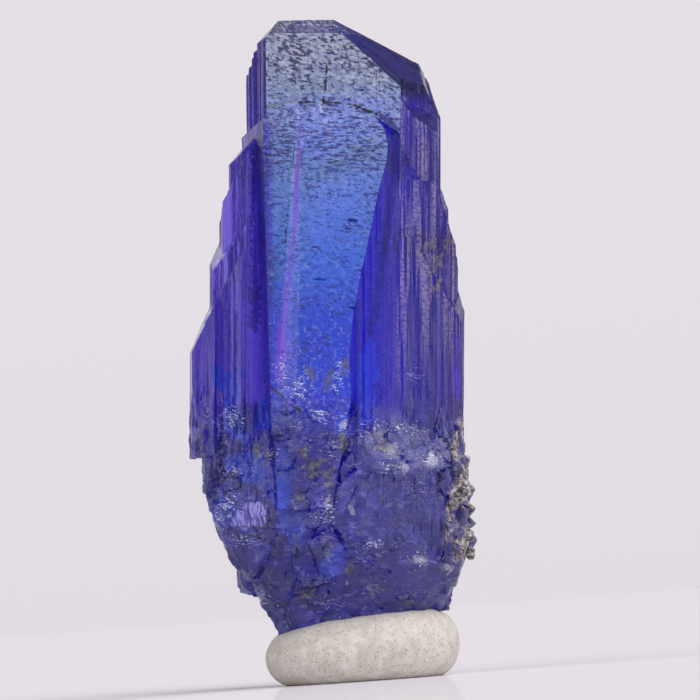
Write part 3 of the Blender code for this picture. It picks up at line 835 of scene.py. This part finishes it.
def brokenColour(add, x, noise, bent):
    # clouded, with some chips painted darker as painted shade and some paler as painted glints, and pale
    # scratches
    look = zoisite["brokenEnd"]
    colour = add("ValToRGB", [noise["cloud"]], ramp=look["ramp"])
    right = add("MapRange", [x, *look["right"]], **smooth)
    colour = add("Mix", {0: right, 6: colour, 7: look["rightColour"]}, **colourMix)
    pale = add("MapRange", [noise["scratch"], *look["scratch"]], **smooth)
    for perMm, dark, glinting in look["chips"]:
        own = add("SeparateColor", [add("TexVoronoi", {"Vector": bent, "Scale": perMm}, out="Color")])
        share = add("MapRange", [own, *dark])
        colour = add("Mix", {0: share, 6: colour, 7: look["chipShadeColour"]}, **colourMix)
        pale = add("Math", [pale, add("MapRange", [own, *glinting])], **larger)
    return colour, pale


def paintedGlitter(add, x, bent, broken):
    # painted glitter: tiny white highlights over the left blades and the broken end
    look = zoisite["glitter"]
    apart = add("TexVoronoi", {"Vector": bent, "Scale": look["perMm"]})
    near = add("MapRange", [apart, *look["size"]], **smooth)
    bright = add("MapRange", [add("SeparateColor", [apart.node.outputs["Color"]]), *look["bright"]])
    kept = add("Math", [bright, look["faintest"]], operation="GREATER_THAN")
    where = add("Math", [broken, add("MapRange", [x, *look["onBroken"]])], **times)
    where = add("Math", [where, add("MapRange", [x, *look["onLeft"]])], **larger)
    for share in (bright, kept, where):
        near = add("Math", [near, share], **times)
    return near


def crustColour(add, noise):
    # brown-grey matrix with pale and dark grains
    colour = add("ValToRGB", [noise["grit"]], ramp=zoisite["crustRamp"])
    for span, tone in zoisite["crustSpecks"]:
        share = add("MapRange", [noise["fleck"], *span])
        colour = add("Mix", {0: share, 6: colour, 7: tone}, **colourMix)
    return colour


def tanzaniteFinish():
    material, add, shader, link = newMaterial("naturalTanzanite")
    place = add("Attribute", out="Vector", attribute_name="place")
    x = add("SeparateXYZ", [place], out="X")
    z = add("SeparateXYZ", [place], out="Z")
    noise = stonePatterns(add, place)
    mark = stoneMarks(add, noise)
    side, stripe = sideColour(add, x, z, noise, mark)
    front, frosted, frost, etch = frontColour(add, x, z, noise, mark)
    body = add("Mix", {0: frosted, 6: side, 7: front}, **colourMix)

    look = zoisite["brokenEnd"]
    bent = add("VectorMath", [noise["grit"], (look["bend"],) * 3, place], **timesAndAdd)
    rough, pale = brokenColour(add, x, noise, bent)
    broken = add("Math", [noise["wander"], look["wander"], z], **timesAndAdd)
    broken = add("MapRange", [broken, *look["reach"]], **smooth)
    for share in (broken, add("MapRange", [mark["gloom"], *look["unlit"]]),
                  add("MapRange", [x, *look["paleRight"]])):
        pale = add("Math", [pale, share], **times)
    body = add("Mix", {0: broken, 6: body, 7: rough}, **colourMix)

    # the front's marks, from the faintest to the strongest: painted light through the blades and clear
    # spots, painted shade where no light reaches, and the violet rib
    for name, colour, strength in zoisite["washes"]:
        share = add("Math", [mark[name], strength], **times)
        body = add("Mix", {0: share, 6: body, 7: colour}, **colourMix)
    # painted highlights: pale scratches, glinting chips and fracture glitter are painted pale lavender
    share = {name: add("Math", [mark[name], zoisite[name][1]], **times)
             for name in ("veil", "dust", "shard")}
    pale = add("Math", [pale, share["veil"]], **larger)
    body = add("Mix", {0: pale, 6: body, 7: zoisite["veil"][0]}, **colourMix)
    # painted highlights and reflections: sparks, glitter, shards and the window; the dust is the matrix's
    # own pale film
    for name, source in (("spark", "grain"), ("window", "line")):
        textured = add("MapRange", [noise[source], *zoisite[name][1]])
        share[name] = add("Math", [mark[name], textured], **times)
    share["spark"] = add("Math", [paintedGlitter(add, x, bent, broken), share["spark"]], **larger)
    for name in ("dust", "shard", "spark", "window"):
        body = add("Mix", {0: share[name], 6: body, 7: zoisite[name][0]}, **colourMix)
        pale = add("Math", [pale, share[name]], **larger)

    # matrix between the blades, dark cracks, and the crust on the right
    earth = add("Math", [mark["olive"], mark["ledge"]], **larger)
    earth = add("Math", [earth, zoisite["matrix"]], **times)
    matrix = add("ValToRGB", [noise["grit"]], ramp=zoisite["matrixRamp"])
    gaps = add("MapRange", [noise["cloud"], *zoisite["crustGaps"]])
    crust = add("Math", [mark["crust"], gaps], **times)
    for share, colour in ((earth, matrix), (mark["crack"], zoisite["crackColour"]),
                          (crust, crustColour(add, noise))):
        body = add("Mix", {0: share, 6: body, 7: colour}, **colourMix)
    link(body, shader.inputs["Base Color"])

    cover = {"etched": mark["etched"], "pale": pale, "frost": frost, "stripe": stripe, "earth": earth,
             "crack": mark["crack"], "crust": crust}
    gloss = add("MapRange", [noise["grain"], *zoisite["gloss"]])
    for name, least in zoisite["dull"].items():
        dull = add("Math", [cover[name], least], **times)
        gloss = add("Math", [gloss, dull], **larger)
    link(gloss, shader.inputs["Roughness"])
    clear = add("MapRange", [mark["etched"], 0.0, 1.0, *zoisite["clear"]])
    for name, left in zoisite["clearUnder"].items():
        shaded = add("MapRange", [cover[name], 0.0, 1.0, 1.0, left])
        clear = add("Math", [clear, shaded], **times)
    link(clear, shader.inputs["Transmission Weight"])
    shader.inputs["IOR"].default_value = zoisite["ior"]
    shader.inputs["Metallic"].default_value = 0.0

    # relief finer than the mesh: lines on the prism faces, pits on the front, splinters where it broke
    height = add("Math", [noise["grain"], zoisite["grainRelief"]], **times)
    lined = add("MapRange", [x, *zoisite["linedRight"]])
    lined = add("Math", [mark["striated"], lined], **times)
    for name, share in (("line", lined), ("stripe", lined), ("grit", broken), ("scratch", broken)):
        height = add("Math", [noise[name], share, height], **timesAndAdd)
    for share in (etch, mark["crack"]):
        height = add("Math", [height, share], operation="SUBTRACT")
    relief = {"Strength": zoisite["reliefStrength"], "Distance": zoisite["finestRelief"] / 1000}
    link(add("Bump", {"Height": height, **relief}), shader.inputs["Normal"])

    depth = add("VolumeAbsorption", {"Color": zoisite["depthColour"], "Density": zoisite["depthDensity"]})
    link(depth, material.node_tree.nodes["Material Output"].inputs["Volume"])
    return material


crystal.data.materials.append(tanzaniteFinish())
print("stone finished")


# The putty, pressed up against the stone by hand

putty = {
    "width": 8.6,  # mm
    "depth": 8.2,
    "profile": [  # level in mm, and share of the full width there
        (0.0, 0.79), (0.12, 0.86), (0.45, 0.945), (0.95, 0.99), (1.5, 1.0), (2.0, 0.965),
        (2.4, 0.895), (2.68, 0.79), (2.84, 0.66), (2.92, 0.50), (2.94, 0.30), (2.94, 0.02)],
    "squareness": 2.3,
    "rise": 0.03,  # how much higher the right side is, per mm
    "sides": 120,
    "rows": 56,
    "middle": 1.3,  # mm above the foot
    "settle": 0.04,  # mm that the relief is sunk, so that the lump keeps its width
    "footFade": 0.5,  # mm, the relief sets in above the flat foot
    "contactGap": 0.015,  # mm, to the stone
    "dentReach": 4.2,  # mm, up to here the stone presses its dent
    "lump": (1.7, 0.07),  # size and height in mm
    "press": (0.65, 0.012),
    "seed": 19,
}


def lumpPoints():
    # rings from the foot up over the rounded top, spaced evenly along the profile
    profile = np.array(putty["profile"]) * np.array([1.0, putty["width"] / 2])
    steps = np.concatenate([[0], np.cumsum(np.linalg.norm(np.diff(profile, axis=0), axis=1))])
    along = np.linspace(0, steps[-1], putty["rows"])
    levels = np.interp(along, steps, profile[:, 0])
    shares = np.interp(along, steps, profile[:, 1]) / (putty["width"] / 2)
    for blur in range(3):
        levels[1:-1] = (levels[:-2] + 2 * levels[1:-1] + levels[2:]) / 4
        shares[1:-1] = (shares[:-2] + 2 * shares[1:-1] + shares[2:]) / 4
    turns = np.linspace(0, math.tau, putty["sides"], endpoint=False)
    power = putty["squareness"]
    across = np.abs(2 * np.cos(turns) / putty["width"]) ** power
    through = np.abs(2 * np.sin(turns) / putty["depth"]) ** power
    radius = (across + through) ** (-1 / power)
    x = shares[:, None] * (radius * np.cos(turns))[None, :]
    y = shares[:, None] * (radius * np.sin(turns))[None, :]
    z = levels[:, None] * (1 + putty["rise"] * x)
    return np.stack([x, y, z], 2).reshape(-1, 3)


def puttyMesh(stonePiece):
    spots = lumpPoints()
    size, high = putty["lump"]
    relief = high * softNoise(spots / size, putty["seed"])
    size, high = putty["press"]
    relief += high * softNoise(spots / size, putty["seed"] + 1)
    outward = spots - np.array([0, 0, putty["middle"]])
    outward /= np.linalg.norm(outward, axis=1)[:, None]
    relief = (relief - putty["settle"]) * ramp01(spots[:, 2], 0.0, putty["footFade"])
    spots = spots + outward * relief[:, None]
    sides, rows = putty["sides"], putty["rows"]
    cells = [(row * sides + i, row * sides + (i + 1) % sides,
              (row + 1) * sides + (i + 1) % sides, (row + 1) * sides + i)
             for row in range(rows - 1) for i in range(sides)]
    cells.append(tuple(reversed(range(sides))))
    cells.append(tuple(range((rows - 1) * sides, rows * sides)))
    mesh = bpy.data.meshes.new("puttyLump")
    mesh.from_pydata((spots / 1000).tolist(), [], cells)
    piece = bpy.data.objects.new("puttyLump", mesh)
    scene.collection.objects.link(piece)
    cutter = stoneCutter(stonePiece)
    dent = piece.modifiers.new("dent", "BOOLEAN")
    dent.operation = "DIFFERENCE"
    dent.solver = "EXACT"
    dent.object = cutter
    graph = bpy.context.evaluated_depsgraph_get()
    piece.data = bpy.data.meshes.new_from_object(piece.evaluated_get(graph))
    piece.modifiers.clear()
    bpy.data.objects.remove(cutter)
    piece.data.materials.clear()
    piece.data.shade_smooth()
    piece.data.set_sharp_from_angle(angle=math.radians(50))
    return piece


def stoneCutter(stonePiece):
    # the stone's lower end, a hair larger all round, to press the dent with
    bm = bmesh.new()
    bm.from_mesh(stonePiece.data)
    everything = bm.verts[:] + bm.edges[:] + bm.faces[:]
    bmesh.ops.bisect_plane(bm, geom=everything, plane_co=(0, 0, putty["dentReach"] / 1000),
                           plane_no=(0, 0, 1), clear_outer=True)
    bmesh.ops.holes_fill(bm, edges=[edge for edge in bm.edges if edge.is_boundary])
    bm.normal_update()
    for vertex, shift in [(v, v.normal * putty["contactGap"] / 1000) for v in bm.verts]:
        vertex.co += shift
    mesh = bpy.data.meshes.new("stoneCutter")
    bm.to_mesh(mesh)
    bm.free()
    cutter = bpy.data.objects.new("stoneCutter", mesh)
    scene.collection.objects.link(cutter)
    return cutter


# Mounting putty is a chalk-filled soft plastic, rolled in the fingers: matte, with dark specks and pits
puttyLook = {
    "mottle": 2100.0,  # cells per metre, about 0.5 mm wide
    "grit": 9000.0,  # 0.11 mm wide, coarser than real chalk so that it shows
    "pits": 5200.0,
    "relief": 0.05,  # mm
    "speckEdge": (0.45, 0.20),
    "speckDark": (0.40, 1.0, 0.0, 0.8),
    "ramp": [(0.30, "#C4BDB3"), (0.50, "#D2CCC3"), (0.70, "#E0DBD3")],
    "speck": "#8A837B",
    "roughness": (0.55, 0.75),
}


def puttyFinish():
    material, add, shader, link = newMaterial("rolledMountingPutty")
    place = add("TexCoord", out="Object")
    mottle = {"Vector": place, "Scale": puttyLook["mottle"], "Detail": 3.0, "Roughness": 0.65}
    cloud = add("TexNoise", mottle)
    base = add("ValToRGB", [cloud], ramp=puttyLook["ramp"])
    # each grain of chalk grit has its own darkness
    cells = {"Vector": place, "Scale": puttyLook["grit"]}
    dot = add("MapRange", [add("TexVoronoi", cells, out="Distance"), *puttyLook["speckEdge"]], **smooth)
    own = add("SeparateColor", [add("TexVoronoi", cells, out="Color")])
    pick = add("MapRange", [own, *puttyLook["speckDark"]])
    speck = add("Math", [dot, pick], **times)
    base = add("Mix", {0: speck, 6: base, 7: puttyLook["speck"]}, **colourMix)
    link(base, shader.inputs["Base Color"])
    link(add("MapRange", [cloud, 0.0, 1.0, *puttyLook["roughness"]]), shader.inputs["Roughness"])
    fine = add("TexNoise", {"Vector": place, "Scale": puttyLook["pits"], "Detail": 4.0})
    height = add("Math", [fine, speck], operation="SUBTRACT")
    relief = {"Height": height, "Strength": 0.5, "Distance": puttyLook["relief"] / 1000}
    link(add("Bump", relief), shader.inputs["Normal"])
    return material


lump = puttyMesh(crystal)
lump.data.materials.append(puttyFinish())
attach(lump, "root")
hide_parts("putty_base")
print("putty shaped:", len(lump.data.polygons), "faces")


# Table, light and camera

studio = {
    "tableHalf": 2.0,  # metres
    "tableColour": "#E1DCE2",
    "tablePolish": 0.24,
    "backdrop": "#E5DFE6",
    "ambient": 0.14,  # how bright the unlit room is, next to the backdrop
    "glowTowards": (-0.25, 0.96, -0.10),
    "glow": (0.66, 0.92),  # it fades between these, 1 is the glow's middle
    "glowStrength": 1.0,
    "horizon": (0.0, 0.08, 0.965, 1.0),  # from just above the table to higher up
    "frontFill": (-0.3, -1.0, 0.0, 0.30),  # weak light from in front
    "lights": [  # wide, far softboxes: where from, strength in W per square metre, width in degrees
        {"from": (0.62, -0.20, 0.76), "strength": 2.9, "wide": 80.0},
        {"from": (-0.66, -0.62, 0.42), "strength": 1.25, "wide": 65.0},
    ],
}


def softSurround():
    # the camera sees an even backdrop; the stone sees it glow behind and the room around it dark
    world = bpy.data.worlds.new("softSurround")
    world.use_nodes = True
    add = functools.partial(addNode, world.node_tree)
    sky = world.node_tree.nodes["Background"]
    sky.inputs["Color"].default_value = tint(studio["backdrop"])
    way = add("TexCoord", out="Generated")
    aligned = add("VectorMath", [way, studio["glowTowards"]], out="Value", operation="DOT_PRODUCT")
    room = add("MapRange", [aligned, *studio["glow"], studio["ambient"], studio["glowStrength"]], **smooth)
    front = add("MapRange", [add("SeparateXYZ", [way], out="Y"), *studio["frontFill"]], **smooth)
    room = add("Math", [room, front], operation="ADD")
    backdrop = add("MapRange", [add("SeparateXYZ", [way], out="Z"), *studio["horizon"]])
    seen = add("LightPath", out="Is Camera Ray")
    strength = add("Mix", {0: seen, 2: room, 3: backdrop}, data_type="FLOAT")
    world.node_tree.links.new(strength, sky.inputs["Strength"])
    scene.world = world


def buildStudio():
    half = studio["tableHalf"]
    corners = np.array([(-half, -half, 0), (half, -half, 0), (half, half, 0), (-half, half, 0)])
    table = meshFrom("paleTable", corners, np.array([(0, 1, 2, 3)]))
    material = bpy.data.materials.new("whiteAcrylicTable")
    material.use_nodes = True
    shader = material.node_tree.nodes["Principled BSDF"]
    for name, value in (("Base Color", tint(studio["tableColour"])), ("Roughness", 0.5),
                        ("Specular IOR Level", 0.0), ("Coat Weight", studio["tablePolish"]),
                        ("Coat Roughness", 0.03)):
        shader.inputs[name].default_value = value
    table.data.materials.append(material)
    softSurround()
    for number, spec in enumerate(studio["lights"]):
        light = bpy.data.lights.new(f"softbox{number}", "SUN")
        light.energy = spec["strength"]
        light.angle = math.radians(spec["wide"])
        holder = bpy.data.objects.new(light.name, light)
        holder.rotation_euler = Vector(spec["from"]).to_track_quat("Z", "Y").to_euler()
        scene.collection.objects.link(holder)


def placeCamera():
    view = photoView
    lens = bpy.data.cameras.new("photoCamera")
    lens.lens = view["lens"]
    lens.sensor_width = view["film"]
    lens.clip_start = 0.005
    holder = bpy.data.objects.new("photoCamera", lens)
    scene.collection.objects.link(holder)
    x, z = atPixel(*view["aimPixel"])
    goal = Vector(fromStone([(x, 0.0, z)])[0])
    away = view["lens"] * view["framePixels"] / (view["film"] * view["pixelsPerMm"] * 1000)
    rise = math.radians(view["lookUp"])
    back = Vector((0, -math.cos(rise), -math.sin(rise)))
    roll = Matrix.Rotation(math.radians(view["roll"]), 3, "Z")
    holder.location = goal + back * away
    holder.rotation_euler = (back.to_track_quat("Z", "Y").to_matrix() @ roll).to_euler()
    scene.camera = holder


buildStudio()
placeCamera()
scene.view_settings.view_transform = "Standard"
print("studio built")
